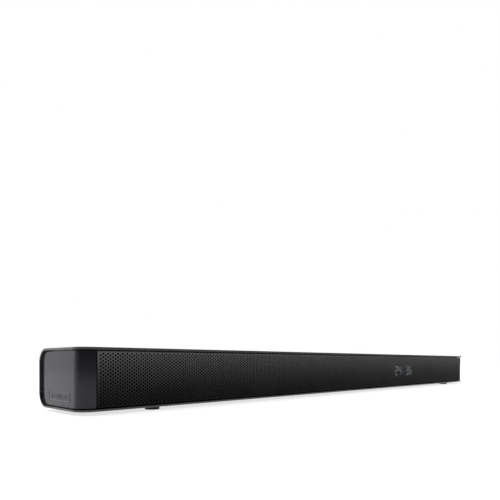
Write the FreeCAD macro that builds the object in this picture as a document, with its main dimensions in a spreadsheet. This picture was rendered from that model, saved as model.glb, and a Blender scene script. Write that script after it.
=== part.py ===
import FreeCAD, Part
import Sketcher
import os
import re

# A soundbar, in millimetres. +Z is up, the front faces -Y, and the origin lies under the middle of the
# bar on the surface that the feet stand on.

sizes = {
    # the casing: a D-shaped wrap, open at the front and at both ends
    "barLength": 980,
    "barDepth": 95,
    "shellHeight": 62,
    "topWall": 2.5,
    "floorWall": 2,
    "backWall": 2.5,
    "rearRadius": 16,
    "cornerRadius": 16.5,
    "ribHeight": 3,
    "ribWall": 2,
    "ribFromCap": 12,
    "partitionGap": 13,
    "rimRound": 0.9,
    # what closes the front and the ends
    "capInset": 2,
    "capWall": 2.5,
    "capLap": 1.5,
    "rimGap": 0.9,
    "seamGap": 1,
    "grilleInset": 2.2,
    "grilleWall": 0.8,
    "baffleSetback": 6.5,
    "baffleWall": 3,
    "baffleFromCap": 2,
    "baffleHoleDeep": 2,
    # feet
    "footHeight": 3.5,
    "footRadius": 8,
    "footFromEnd": 89,
    "footFromFront": 15,
    "footFromBack": 21,
    "pegRadius": 2.5,
    "pegLength": 3,
    "footRound": 0.8,
    # racetrack drivers
    "driverFromEnd": 80,
    "driverPitch": 110,
    "driverWide": 104,
    "driverTall": 50,
    "flangeWall": 2,
    "flangeRound": 4,
    "flangeInset": 4,
    "rollSpare": 2,
    "legWide": 10,
    "legThick": 4,
    "legInset": 6,
    "plateOver": 12,
    "eyeInset": 2.5,
    "coneWide": 80,
    "coneTall": 32,
    "coneDepth": 11,
    "coneWall": 0.8,
    "rollWidth": 5,
    "rollHeight": 2.6,
    "coilRadius": 12.5,
    "coilWall": 0.5,
    "coilLength": 14,
    "coilGap": 0.5,
    "basketDepth": 15,
    "motorRadius": 22,
    "plateRadius": 19,
    "plateWall": 3,
    "magnetWall": 8,
    "spiderRadius": 18.5,
    "spiderWall": 1,
    "spiderGroove": 0.8,
    "spiderGrooveDeep": 0.5,
    "rimFold": 1,
    "rimFoldWide": 2,
    "surroundRound": 1.2,
    "surroundWall": 0.8,
    # display
    "windowWide": 84,
    "windowTall": 24,
    "digitTall": 18,
    "digitWide": 11,
    "digitPitch": 15,
    "strokeWide": 1.8,
    "ledWall": 0.6,
    "colonHalf": 3,
    "displayGap": 6,
    "windowLap": 4,
    "receiverRadius": 3,
    # boards
    "boardWall": 1.6,
    "boardGap": 0.3,
    "boardDepth": 60,
    "powerWide": 130,
    "powerGap": 20,
    "boardSpace": 10,
    "boardDrop": 9.9,
    "boardInset": 6,
    "boardHoleDeep": 10,
    "mainWide": 220,
    # rear recess and its sockets
    "recessWide": 220,
    "recessTall": 26,
    "recessLead": 75,
    "recessDepth": 14,
    "panelWall": 2,
    "socketDeep": 15,
    "socketGap": 0.2,
    "socketBack": 3,
    "tongueShort": 2,
    "jackRadius": 1.75,
    "jackWide": 10,
    "jackDeep": 13,
    "jackTall": 10,
    "jackBoreDeep": 14,
    "collarRadius": 4,
    "collarGap": 0.1,
    "collarProud": 0.6,
    "inletWide": 24,
    "inletTall": 16,
    "inletMouthWide": 18,
    "inletMouthTall": 9.4,
    "pinSpread": 4.3,
    "pinRadius": 1.2,
    "pinShort": 3,
    # what stands on the boards
    "coreWide": 30,
    "coreDeep": 34,
    "coreTall": 26,
    "coreRound": 3,
    "canTall": 22,
    "sinkWide": 60,
    "sinkDeep": 30,
    "sinkTall": 22,
    "sinkBase": 5,
    "finSlot": 3,
    "finPitch": 6,
    "shieldWide": 30,
    "shieldDeep": 20,
    "shieldTall": 3.5,
    "shieldRound": 1,
    # keys
    "keyPitch": 24,
    "keyWide": 16,
    "keyDeep": 9,
    "keyFromFront": 36,
    "keyGap": 0.3,
    "keyTravel": 0.4,
    "keyFlange": 1.2,
    "keyRound": 2,
    "keyLap": 3,
    "stemRadius": 1.8,
    "switchWide": 6,
    "plungerRadius": 1.6,
    "hangerGap": 16.8,
    "keyBoardDeep": 14,
    "stemLength": 3.85,
    "switchTall": 3.5,
    "plungerTall": 0.9,
    # fasteners
    "bossRadius": 4,
    "pillarSpare": 1,
    "shaftGap": 0.1,
    "wellGap": 0.4,
    "screwRadius": 1.5,
    "headRadius": 2.8,
    "headTall": 2,
    "casingScrewLength": 11,
    "screwFromEnd": 50,
    "screwFromBack": 11.5,
    "screwFromFront": 27.5,
    "screwFromPartition": 13,
    "screwFromCap": 1,
    "boardScrewLength": 8,
    "postLength": 10,
    "seatWall": 3,
    "nutRadius": 3,
    "nutBore": 1.65,
    "nutLength": 8,
    "nutWall": 2,
    "nutEnd": 1,
    "nutFromMiddle": 380,
    "fitGap": 0.05,
}

# sizes that follow from the ones above; each uses only the ones before it
followers = {
    "capReach": "(cornerRadius + capLap)",
    "boardLift": "(shellHeight/2 - floorWall - boardWall - boardDrop)",
    "partitionFromEnd": "(driverFromEnd + driverPitch + driverWide/2 + partitionGap)",
    "powerCentre": "(partitionFromEnd + powerGap + powerWide/2 - barLength/2)",
    "mainCentre": "(powerCentre + powerWide/2 + boardSpace + mainWide/2)",
    "recessCentre": "(mainCentre - recessLead)",
    "displayCentre": "(barLength/2 - partitionFromEnd - windowWide/2 - displayGap)",
}

doc = FreeCAD.newDocument("Soundbar")
sheet = doc.addObject("Spreadsheet::Sheet", "Sizes")
for row, (name, value) in enumerate(sizes.items(), start=1):
    sheet.set(f"A{row}", name)
    sheet.set(f"B{row}", str(value))
    sheet.setAlias(f"B{row}", name)
doc.recompute()

pieces = []

# places that several pieces share, as formulas on the sheet's names
front = "(-barDepth/2)"
rear = "(barDepth/2)"
floor = "(footHeight + floorWall)"
roof = "(footHeight + shellHeight - topWall)"
upperSeam = "(footHeight + shellHeight - rearRadius)"
lowerSeam = "(footHeight + rearRadius)"
middle = "((footHeight + floorWall + footHeight + shellHeight - topWall)/2)"
baffleFront = "(-barDepth/2 + baffleSetback)"
baffleBack = "(-barDepth/2 + baffleSetback + baffleWall)"
panelFace = "(barDepth/2 - recessDepth)"
recessMiddle = "(footHeight + shellHeight/2)"
boardTop = "(footHeight + floorWall + boardLift + boardWall)"
boardRear = "(barDepth/2 - recessDepth - panelWall - boardGap)"
keyLine = "(-barDepth/2 + keyFromFront)"
stemLow = "(footHeight + shellHeight - topWall - fitGap - keyFlange - stemLength)"
keyBoardTop = f"({stemLow} - fitGap - keyTravel - plungerTall - switchTall)"
casingScrewSpots = [(f"(barLength/2 - {fromEnd})", y) for fromEnd, y in (
    ("screwFromEnd", "(barDepth/2 - screwFromBack)"),
    ("(screwFromEnd + driverPitch)", "(barDepth/2 - screwFromBack)"),
    ("(partitionFromEnd + screwFromPartition)", "(barDepth/2 - screwFromBack)"),
    ("(capReach + screwFromCap)", "(-barDepth/2 + screwFromFront)"))]
keyPlaces = [f"({step}*keyPitch)" for step in (-1.5, -0.5, 0.5, 1.5)]
hangerPlace = "(1.5*keyPitch + hangerGap)"


# the formula with its followers worked in and each sheet name in full
def named(text):
    for name, formula in reversed(followers.items()):
        text = re.sub(rf"\b{name}\b", formula, text)
    return re.sub(r"[A-Za-z]+", lambda word: f"Sizes.{word[0]}" if word[0] in sizes else word[0], text)


def tie(thing, prop, text):
    thing.setExpression(prop, named(text))


def finishPiece(thing, label):
    thing.Label = label
    pieces.append(thing)
    return thing


# ---- bodies, sketches and features ----

def newBody(label):
    return finishPiece(doc.addObject("PartDesign::Body", label), label)


# a sketch on one of the body's own planes, with its origin moved to x, y, z
def sketchAt(body, role, x, y, z):
    sketch = body.newObject("Sketcher::SketchObject", "sketch")
    plane = next(item for item in body.Origin.OriginFeatures if item.Role == role)
    sketch.AttachmentSupport = [(plane, "")]
    sketch.MapMode = "FlatFace"
    offsets = {"XY_Plane": (x, y, z), "XZ_Plane": (x, z, f"-({y})"), "YZ_Plane": (y, z, x)}
    for axis, text in zip("xyz", offsets[role]):
        tie(sketch, f"AttachmentOffset.Base.{axis}", text)
    return sketch


# a driving dimension tied to a formula
def measure(sketch, name, text, kind, *parts):
    index = sketch.addConstraint(Sketcher.Constraint(kind, *parts, 5.0))
    sketch.renameConstraint(index, name)
    tie(sketch, f"Constraints.{name}", text)


# a rectangle about the sketch's origin
def rectangle(sketch, wide, tall, tag=""):
    corners = [FreeCAD.Vector(x, y, 0) for x, y in ((-5, -3), (5, -3), (5, 3), (-5, 3))]
    first = sketch.GeometryCount
    for here, there in zip(corners, corners[1:] + corners[:1]):
        sketch.addGeometry(Part.LineSegment(here, there))
    for side in range(4):
        sketch.addConstraint(Sketcher.Constraint("Coincident", first + side, 2, first + (side + 1) % 4, 1))
        kind = "Vertical" if side % 2 else "Horizontal"
        sketch.addConstraint(Sketcher.Constraint(kind, first + side))
    sketch.addConstraint(Sketcher.Constraint("Symmetric", first, 1, first + 1, 2, -1, 1))
    measure(sketch, f"wide{tag}", wide, "DistanceX", first, 1, first, 2)
    measure(sketch, f"tall{tag}", tall, "DistanceY", first + 1, 1, first + 1, 2)


# a rectangle about the sketch's origin with four equal round corners
def roundRectangle(sketch, wide, tall, radius):
    quarter = 1.5707963267948966
    up = FreeCAD.Vector(0, 0, 1)
    runs = [((-4, -5), (4, -5)), ((6, -3), (6, 3)), ((4, 5), (-4, 5)), ((-6, 3), (-6, -3))]
    centres = [(4, -3), (4, 3), (-4, 3), (-4, -3)]
    for number, (run, centre) in enumerate(zip(runs, centres)):
        start, end = (FreeCAD.Vector(x, y, 0) for x, y in run)
        sketch.addGeometry(Part.LineSegment(start, end))
        bend = Part.Circle(FreeCAD.Vector(*centre, 0), up, 2)
        sketch.addGeometry(Part.ArcOfCircle(bend, (number - 1) * quarter, number * quarter))
    for number in range(0, 8, 2):
        sketch.addConstraint(Sketcher.Constraint("Tangent", number, 2, number + 1, 1))
        sketch.addConstraint(Sketcher.Constraint("Tangent", number + 1, 2, (number + 2) % 8, 1))
        kind = "Vertical" if number % 4 else "Horizontal"
        sketch.addConstraint(Sketcher.Constraint(kind, number))
    for number in (3, 5, 7):
        sketch.addConstraint(Sketcher.Constraint("Equal", 1, number))
    sketch.addConstraint(Sketcher.Constraint("Symmetric", 1, 3, 5, 3, -1, 1))
    measure(sketch, "round", radius, "Radius", 1)
    measure(sketch, "across", f"({wide}) - 2*({radius})", "DistanceX", 5, 3, 1, 3)
    measure(sketch, "upright", f"({tall}) - 2*({radius})", "DistanceY", 1, 3, 3, 3)


# a racetrack about the sketch's origin: two half circles joined by straights
def racetrack(sketch, wide, tall, tag=""):
    first = sketch.GeometryCount
    toLeft = Part.Circle(FreeCAD.Vector(-5, 0, 0), FreeCAD.Vector(0, 0, 1), 3)
    toRight = Part.Circle(FreeCAD.Vector(5, 0, 0), FreeCAD.Vector(0, 0, 1), 3)
    quarter = 1.5707963267948966
    sketch.addGeometry(Part.ArcOfCircle(toLeft, quarter, 3 * quarter))
    sketch.addGeometry(Part.LineSegment(FreeCAD.Vector(-5, -3, 0), FreeCAD.Vector(5, -3, 0)))
    sketch.addGeometry(Part.ArcOfCircle(toRight, -quarter, quarter))
    sketch.addGeometry(Part.LineSegment(FreeCAD.Vector(5, 3, 0), FreeCAD.Vector(-5, 3, 0)))
    for side in range(4):
        sketch.addConstraint(Sketcher.Constraint("Tangent", first + side, 2, first + (side + 1) % 4, 1))
    sketch.addConstraint(Sketcher.Constraint("Horizontal", first + 1))
    sketch.addConstraint(Sketcher.Constraint("Equal", first, first + 2))
    sketch.addConstraint(Sketcher.Constraint("Symmetric", first, 3, first + 2, 3, -1, 1))
    measure(sketch, f"round{tag}", f"({tall})/2", "Radius", first)
    measure(sketch, f"straight{tag}", f"({wide}) - ({tall})", "DistanceX", first, 3, first + 2, 3)


# a circle about the sketch's origin
def circle(sketch, radius, tag=""):
    first = sketch.GeometryCount
    sketch.addGeometry(Part.Circle(FreeCAD.Vector(0, 0, 0), FreeCAD.Vector(0, 0, 1), 3))
    sketch.addConstraint(Sketcher.Constraint("Coincident", first, 3, -1, 1))
    measure(sketch, f"radius{tag}", radius, "Radius", first)


# a pad along the sketch's normal, which is +X, -Y or +Z, or the other way where it is flipped
def pad(body, sketch, length, flip=False, bothWays=False):
    feature = body.newObject("PartDesign::Pad", "pad")
    feature.Profile = sketch
    feature.Reversed = flip
    if bothWays:
        feature.SideType = "Symmetric"
    tie(feature, "Length", length)
    doc.recompute([sketch, feature, body])
    return feature


# a pocket that must take material away: against the sketch's normal, or along it where it is flipped,
# and right through both ways where no length is given
def pocket(body, sketch, length=None, flip=False):
    before = body.Shape.Volume
    feature = body.newObject("PartDesign::Pocket", "pocket")
    feature.Profile = sketch
    feature.Reversed = flip
    if length is None:
        feature.Type = "ThroughAll"
        feature.SideType = "Symmetric"
    else:
        tie(feature, "Length", length)
    doc.recompute([sketch, feature, body])
    if body.Shape.Volume >= before:
        raise RuntimeError(f"a pocket cuts nothing from {body.Label}")
    return feature


# straight edges along one axis, whose middle passes the test
def edgesAlong(feature, axis, test):
    found = []
    for index, edge in enumerate(feature.Shape.Edges, start=1):
        box = edge.BoundBox
        spans = {"X": box.XLength, "Y": box.YLength, "Z": box.ZLength}
        along = spans.pop(axis)
        if along > 1e-4 and max(spans.values()) < 1e-4 and test(box.Center):
            found.append(f"Edge{index}")
    return found


def roundEdges(body, feature, edges, radius):
    rounding = body.newObject("PartDesign::Fillet", "fillet")
    rounding.Base = (feature, edges)
    tie(rounding, "Radius", radius)
    doc.recompute([rounding, body])
    return rounding


# the features again on the other side of the bar's middle
def mirrorAcross(body, features):
    mirrored = body.newObject("PartDesign::Mirrored", "mirrored")
    mirrored.Originals = features
    plane = next(item for item in body.Origin.OriginFeatures if item.Role == "YZ_Plane")
    mirrored.MirrorPlane = (plane, [""])
    body.Tip = mirrored
    doc.recompute([mirrored, body])
    return mirrored


# ---- primitives ----

def place(thing, x, y, z):
    for axis, text in zip("xyz", (x, y, z)):
        tie(thing, f"Placement.Base.{axis}", text)


# a block given by its lowest corner and its lengths
def block(corner, lengths):
    thing = doc.addObject("Part::Box", "block")
    for prop, text in zip(("Length", "Width", "Height"), lengths):
        tie(thing, prop, text)
    place(thing, *corner)
    return thing


turns = {
    "Z": FreeCAD.Rotation(),
    "Y": FreeCAD.Rotation(FreeCAD.Vector(1, 0, 0), -90),
    "-Y": FreeCAD.Rotation(FreeCAD.Vector(1, 0, 0), 90),
}


# a rod given by the middle of its first end, its direction, its radius and its length
def rod(start, towards, radius, length):
    thing = doc.addObject("Part::Cylinder", "rod")
    thing.Placement = FreeCAD.Placement(FreeCAD.Vector(), turns[towards])
    place(thing, *start)
    tie(thing, "Radius", radius)
    tie(thing, "Height", length)
    return thing


def fused(parts):
    thing = doc.addObject("Part::MultiFuse", "joined")
    thing.Shapes = parts
    return thing


def without(base, tool):
    thing = doc.addObject("Part::Cut", "cut")
    thing.Base = base
    thing.Tool = tool
    return thing


def group(label, parts):
    thing = doc.addObject("Part::Compound", label)
    thing.Links = parts
    return finishPiece(thing, label)


# a screw from under its head: the head goes back from the start and the shank forward
def screw(x, y, z, towards, length):
    shank = rod((x, y, z), towards, "screwRadius", length)
    if towards == "Z":
        head = rod((x, y, f"{z} - headTall"), "Z", "headRadius", "headTall")
    else:
        head = rod((x, y, z), "Y", "headRadius", "headTall")
    return fused([shank, head])


# ---- casing ----

# the whole D-shaped wrap, hollow, before it is parted at its seams
def wrapBlank(label):
    body = newBody(label)
    outline = sketchAt(body, "YZ_Plane", "0", "0", "footHeight + shellHeight/2")
    rectangle(outline, "barDepth", "shellHeight")
    solid = pad(body, outline, "barLength", bothWays=True)
    behind = edgesAlong(solid, "X", lambda spot: spot.y > 0)
    solid = roundEdges(body, solid, behind, "rearRadius")
    ahead = edgesAlong(solid, "Z", lambda spot: spot.y < 0)
    solid = roundEdges(body, solid, ahead, "cornerRadius")
    # every edge but the ones where the roundings run smoothly into the flats
    smooth = (edgesAlong(solid, "X", lambda spot: spot.y > 0)
              + edgesAlong(solid, "Z", lambda spot: spot.y < 0))
    sharp = [f"Edge{number}" for number in range(1, len(solid.Shape.Edges) + 1)]
    solid = roundEdges(body, solid, [name for name in sharp if name not in smooth], "rimRound")
    # the hollow reaches out past the front, so that the front stays open
    hollow = sketchAt(body, "YZ_Plane", "0", "-barDepth/2 - backWall", middle)
    roundRectangle(hollow, "barDepth*2", f"{roof} - {floor}", "rearRadius - backWall")
    pocket(body, hollow)
    return body


# low stops near the ends that the caps' plates rest against
def capStop(body, level, flip):
    stop = sketchAt(body, "XY_Plane", "barLength/2 - capInset - capWall - ribWall/2", "0", level)
    rectangle(stop, "ribWall", "barDepth/2")
    return pad(body, stop, "ribHeight", flip=flip)


def topCasing():
    body = wrapBlank("top_casing")
    under = sketchAt(body, "XY_Plane", "0", "0", upperSeam)
    rectangle(under, "barLength*1.2", "barDepth*1.5")
    pocket(body, under, "shellHeight*2")
    sideFeatures = [capStop(body, roof, True)]
    for x, y in casingScrewSpots:
        post = sketchAt(body, "XY_Plane", x, y, roof)
        circle(post, "bossRadius")
        sideFeatures.append(pad(body, post, "postLength", flip=True))
        hole = sketchAt(body, "XY_Plane", x, y, f"{roof} - postLength")
        circle(hole, "screwRadius")
        sideFeatures.append(pocket(body, hole, "casingScrewLength - seatWall", flip=True))
    hanger = sketchAt(body, "XY_Plane", hangerPlace, keyLine, roof)
    circle(hanger, "bossRadius")
    sideFeatures.append(pad(body, hanger, f"{roof} - {keyBoardTop}", flip=True))
    mirrorAcross(body, sideFeatures)
    rib = sketchAt(body, "XY_Plane", "0", f"{baffleBack} + ribWall/2", roof)
    rectangle(rib, "barLength - 2*(capReach + ribFromCap)", "ribWall")
    pad(body, rib, "ribHeight", flip=True)
    for x in keyPlaces:
        opening = sketchAt(body, "XY_Plane", x, keyLine, roof)
        rectangle(opening, "keyWide + 2*keyGap", "keyDeep + 2*keyGap")
        pocket(body, opening, "topWall*2", flip=True)


# a wall across the bar, shaped to the inside of the wrap and cut off at its front
def crossWall(body, x, yFront):
    profile = sketchAt(body, "YZ_Plane", x, "-barDepth/2 - backWall", middle)
    roundRectangle(profile, "barDepth*2", f"{roof} - {floor}", "rearRadius - backWall")
    pad(body, profile, "ribWall")
    ahead = sketchAt(body, "YZ_Plane", x, f"{yFront} - barDepth", middle)
    rectangle(ahead, "barDepth*2", f"{roof} - {floor}")
    pocket(body, ahead, "ribWall", flip=True)


def bottomCasing():
    body = wrapBlank("bottom_casing")
    over = sketchAt(body, "XY_Plane", "0", "0", lowerSeam)
    rectangle(over, "barLength*1.2", "barDepth*1.5")
    pocket(body, over, "shellHeight*2", flip=True)
    sideFeatures = [capStop(body, floor, False)]
    for x, y in casingScrewSpots:
        pillar = sketchAt(body, "XY_Plane", x, y, floor)
        circle(pillar, "bossRadius + pillarSpare")
        sideFeatures.append(pad(body, pillar, f"{roof} - postLength - {floor}"))
        shaft = sketchAt(body, "XY_Plane", x, y, f"{roof} - postLength")
        circle(shaft, "screwRadius + shaftGap")
        sideFeatures.append(pocket(body, shaft, "seatWall*2"))
        well = sketchAt(body, "XY_Plane", x, y, "footHeight")
        circle(well, "headRadius + wellGap")
        sideFeatures.append(pocket(body, well, f"{roof} - postLength - seatWall - footHeight", flip=True))
    for y in (f"{front} + footFromFront", f"{rear} - footFromBack"):
        pegHole = sketchAt(body, "XY_Plane", "barLength/2 - footFromEnd", y, "footHeight")
        circle(pegHole, "pegRadius")
        sideFeatures.append(pocket(body, pegHole, "floorWall*2", flip=True))
    mirrorAcross(body, sideFeatures)
    for centre, wide in (("powerCentre", "powerWide"), ("mainCentre", "mainWide")):
        for x, y in boardHoles(centre, wide):
            post = sketchAt(body, "XY_Plane", x, y, floor)
            circle(post, "bossRadius")
            pad(body, post, "boardLift")
            hole = sketchAt(body, "XY_Plane", x, y, f"{boardTop} - boardWall")
            circle(hole, "screwRadius")
            pocket(body, hole, "boardHoleDeep")
    crossWall(body, "barLength/2 - partitionFromEnd", f"{baffleBack} + ribWall")
    crossWall(body, "-barLength/2 + partitionFromEnd - ribWall", f"{baffleBack} + ribWall")
    rib = sketchAt(body, "XY_Plane", "0", f"{baffleBack} + ribWall/2", floor)
    rectangle(rib, "barLength - 2*(capReach + ribFromCap)", "ribWall")
    pad(body, rib, "ribHeight")


# the flat of the back on each side of the socket panel, between the two seams
def rearPanel():
    plates = []
    for side in (-1, 1):
        plate = doc.addObject("PartDesign::Body", "plate")
        inner = f"(recessCentre + {side}*(recessWide/2 + panelWall))"
        wide = f"(barLength/2 - {side}*{inner})"
        face = sketchAt(plate, "XZ_Plane", f"{inner} + {side}*{wide}/2", rear, "footHeight + shellHeight/2")
        rectangle(face, wide, f"{upperSeam} - {lowerSeam}")
        flat = pad(plate, face, "backWall")
        box = flat.Shape.BoundBox
        end = box.XMax if side > 0 else box.XMin
        outside = edgesAlong(flat, "Z", lambda spot: spot.y > box.YMax - 0.1 and abs(spot.x - end) < 0.1)
        roundEdges(plate, flat, outside, "rimRound")
        nutPost = sketchAt(plate, "XZ_Plane", f"{side}*nutFromMiddle", f"{rear} - backWall", middle)
        circle(nutPost, "nutRadius + nutWall")
        pad(plate, nutPost, "nutLength + nutEnd - backWall")
        nutHole = sketchAt(plate, "XZ_Plane", f"{side}*nutFromMiddle", rear, middle)
        circle(nutHole, "nutRadius")
        pocket(plate, nutHole, "nutLength", flip=True)
        plates.append(plate)
    group("rear_panel", plates)


# the four screw places of a board, as x and y formulas
def boardHoles(centre, wide):
    return [(f"{centre} + ({wide}/2 - boardInset)*{side}", f"{boardRear} - {inset}")
            for side in (-1, 1) for inset in ("boardInset", "(boardDepth - boardInset)")]


def casingScrews():
    parts = []
    seat = f"({roof} - postLength - seatWall)"
    for side in (-1, 1):
        for x, y in casingScrewSpots:
            parts.append(screw(f"{side}*{x}", y, seat, "Z", "casingScrewLength"))
    group("casing_screws", parts)


# a cap: an end plate that turns the front corner and ends in a tongue beside the grille
def endCap(label, side):
    body = newBody(label)
    wide = "(capReach - capInset)"
    outer = "(barLength/2 - capInset)"
    plan = sketchAt(body, "XY_Plane", f"{side}*({outer} - {wide}/2)",
                    "(grilleInset - backWall - rimGap)/2", "footHeight + floorWall + rimGap")
    rectangle(plan, wide, "barDepth - grilleInset - backWall - rimGap")
    solid = pad(body, plan, f"{roof} - {floor} - 2*rimGap")
    box = solid.Shape.BoundBox
    outside = box.XMax if side > 0 else box.XMin
    corner = edgesAlong(solid, "Z", lambda spot: abs(spot.x - outside) < 0.1 and spot.y < 0)
    solid = roundEdges(body, solid, corner, "cornerRadius - capInset")
    behind = edgesAlong(solid, "X", lambda spot: spot.y > box.YMax - 0.1)
    solid = roundEdges(body, solid, behind, "rearRadius - backWall - rimGap")
    inner = sketchAt(body, "XY_Plane", f"{side}*({outer} - capWall - barLength/4)",
                     "barDepth/2 + grilleInset + capWall", "footHeight")
    roundRectangle(inner, "barLength/2", "2*barDepth", "cornerRadius - capInset - capWall")
    pocket(body, inner)


# ---- front ----

def frontGrille():
    body = newBody("front_grille")
    wide = "(barLength - 2*(capReach + seamGap))"
    tall = f"({roof} - {floor} - 2*rimGap)"
    face = sketchAt(body, "XZ_Plane", "0", f"{front} + grilleInset", middle)
    rectangle(face, wide, tall)
    pad(body, face, "grilleWall", flip=True)
    for way in (-1, 1):
        flange = sketchAt(body, "XZ_Plane", "0", f"{front} + grilleInset + grilleWall",
                          f"{middle} + {way}*({tall}/2 - grilleWall/2)")
        rectangle(flange, wide, "grilleWall")
        pad(body, flange, "baffleSetback - grilleInset - grilleWall", flip=True)


def frontBaffle():
    body = newBody("front_baffle")
    face = sketchAt(body, "XZ_Plane", "0", baffleBack, middle)
    rectangle(face, "barLength - 2*(capReach + baffleFromCap)", f"{roof} - {floor}")
    pad(body, face, "baffleWall")
    sideFeatures = []
    for step in (0, 1):
        x = f"barLength/2 - driverFromEnd - {step}*driverPitch"
        opening = sketchAt(body, "XZ_Plane", x, baffleBack, middle)
        spare = "2*rollWidth + rollSpare"
        racetrack(opening, f"coneWide + {spare}", f"coneTall + {spare}")
        sideFeatures.append(pocket(body, opening))
        for offX, offZ in driverScrewSpots():
            hole = sketchAt(body, "XZ_Plane", f"{x} + {offX}", baffleBack, f"{middle} + {offZ}")
            circle(hole, "screwRadius")
            sideFeatures.append(pocket(body, hole, "baffleHoleDeep", flip=True))
    mirrorAcross(body, sideFeatures)
    window = sketchAt(body, "XZ_Plane", "displayCentre", baffleBack, middle)
    rectangle(window, "windowWide", "windowTall")
    pocket(body, window)
    eye = sketchAt(body, "XZ_Plane", receiverPlace, baffleBack, middle)
    circle(eye, "receiverRadius + fitGap")
    pocket(body, eye)


# the screw places of a driver's flange, from its middle
def driverScrewSpots():
    return [(f"{across}*(driverWide/2 - flangeInset)", f"{up}*(driverTall/2 - flangeInset)")
            for across in (-1, 1) for up in (-1, 1)]


receiverPlace = "(displayCentre - windowWide/2 - receiverRadius*3)"


# ---- drivers ----

# a place behind the baffle's back face
def behind(depth):
    return f"({baffleBack} + {depth})"


def driverFrame(label, x):
    body = newBody(label)
    face = sketchAt(body, "XZ_Plane", x, baffleBack, middle)
    rectangle(face, "driverWide", "driverTall")
    flange = pad(body, face, "flangeWall", flip=True)
    roundEdges(body, flange, edgesAlong(flange, "Y", lambda spot: True), "flangeRound")
    throat = sketchAt(body, "XZ_Plane", x, baffleBack, middle)
    racetrack(throat, "coneWide + 2*rollSpare", "coneTall + 2*rollSpare")
    pocket(body, throat)
    for offX, offZ in driverScrewSpots():
        hole = sketchAt(body, "XZ_Plane", f"{x} + {offX}", baffleBack, f"{middle} + {offZ}")
        circle(hole, "screwRadius")
        pocket(body, hole)
    for across in (-1, 1):
        for up in (-1, 1):
            legX = f"{x} + {across}*(motorRadius - legInset)"
            legZ = f"{middle} + {up}*(coneTall/2 + legThick)"
            leg = sketchAt(body, "XZ_Plane", legX, behind("flangeWall"), legZ)
            rectangle(leg, "legWide", "legThick")
            pad(body, leg, "basketDepth - flangeWall", flip=True)
    plate = sketchAt(body, "XZ_Plane", x, behind("basketDepth"), middle)
    rectangle(plate, "motorRadius*2", "coneTall + plateOver")
    shelf = pad(body, plate, "flangeWall", flip=True)
    eye = sketchAt(body, "XZ_Plane", x, behind("basketDepth"), middle)
    circle(eye, "spiderRadius - eyeInset")
    hole = body.newObject("PartDesign::Pocket", "pocket")
    hole.Profile = eye
    tie(hole, "Length", "flangeWall")
    doc.recompute([eye, hole, body])
    if hole.Shape.Volume >= shelf.Shape.Volume:
        raise RuntimeError("the basket's rear plate has no hole")


def driverMotor(label, x):
    body = newBody(label)
    start = "basketDepth + flangeWall"
    layers = [("plateRadius", "plateWall", start),
              ("motorRadius", "magnetWall", f"{start} + plateWall"),
              ("plateRadius", "plateWall", f"{start} + plateWall + magnetWall")]
    for radius, thick, depth in layers:
        face = sketchAt(body, "XZ_Plane", x, behind(depth), middle)
        circle(face, radius)
        pad(body, face, thick, flip=True)
    gap = sketchAt(body, "XZ_Plane", x, behind(start), middle)
    circle(gap, "coilRadius + coilGap", "Out")
    circle(gap, "coilRadius - coilWall - coilGap*0.8", "In")
    pocket(body, gap, "plateWall + magnetWall")


def coneDish(label, x):
    body = newBody(label)
    neck = "coneDepth - rimFold"
    rim = sketchAt(body, "XZ_Plane", x, behind("-2*rimFold"), middle)
    racetrack(rim, "coneWide", "coneTall", "Out")
    racetrack(rim, "coneWide - 2*rimFoldWide", "coneTall - 2*rimFoldWide", "In")
    pad(body, rim, "rimFold", flip=True)
    for kind, inset in (("AdditiveLoft", "0"), ("SubtractiveLoft", "2*coneWall")):
        wideEnd = sketchAt(body, "XZ_Plane", x, behind("-rimFold"), middle)
        racetrack(wideEnd, f"coneWide - {inset}", f"coneTall - {inset}")
        smallEnd = sketchAt(body, "XZ_Plane", x, behind(neck), middle)
        racetrack(smallEnd, f"2*coilRadius + 1 - {inset}", f"2*coilRadius - {inset}")
        loft = body.newObject(f"PartDesign::{kind}", "loft")
        loft.Profile = wideEnd
        loft.Sections = [smallEnd]
        loft.Ruled = True
        doc.recompute([wideEnd, smallEnd, loft, body])
    plate = sketchAt(body, "XZ_Plane", x, behind(neck), middle)
    racetrack(plate, "2*coilRadius + 1", "2*coilRadius")
    pad(body, plate, "rimFold")


def voiceCoil(label, x):
    body = newBody(label)
    face = sketchAt(body, "XZ_Plane", x, behind("coneDepth - rimFold"), middle)
    circle(face, "coilRadius", "Out")
    circle(face, "coilRadius - coilWall", "In")
    pad(body, face, "coilLength", flip=True)


# a half roll between the cone's edge and the basket's flange, hollow from behind
def coneSurround(label, x):
    body = newBody(label)
    face = sketchAt(body, "XZ_Plane", x, baffleBack, middle)
    racetrack(face, "coneWide + 2*rollWidth", "coneTall + 2*rollWidth", "Out")
    racetrack(face, "coneWide", "coneTall", "In")
    roll = pad(body, face, "rollHeight")
    ahead = roll.Shape.BoundBox.YMin
    crown = [f"Edge{index}" for index, edge in enumerate(roll.Shape.Edges, start=1)
             if edge.BoundBox.YMax < ahead + 0.01]
    roundEdges(body, roll, crown, "surroundRound")
    groove = sketchAt(body, "XZ_Plane", x, baffleBack, middle)
    outer = "2*rollWidth - 2*surroundRound"
    racetrack(groove, f"coneWide + {outer}", f"coneTall + {outer}", "Out")
    racetrack(groove, "coneWide + 2*surroundRound", "coneTall + 2*surroundRound", "In")
    pocket(body, groove, "rollHeight - surroundWall", flip=True)


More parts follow.
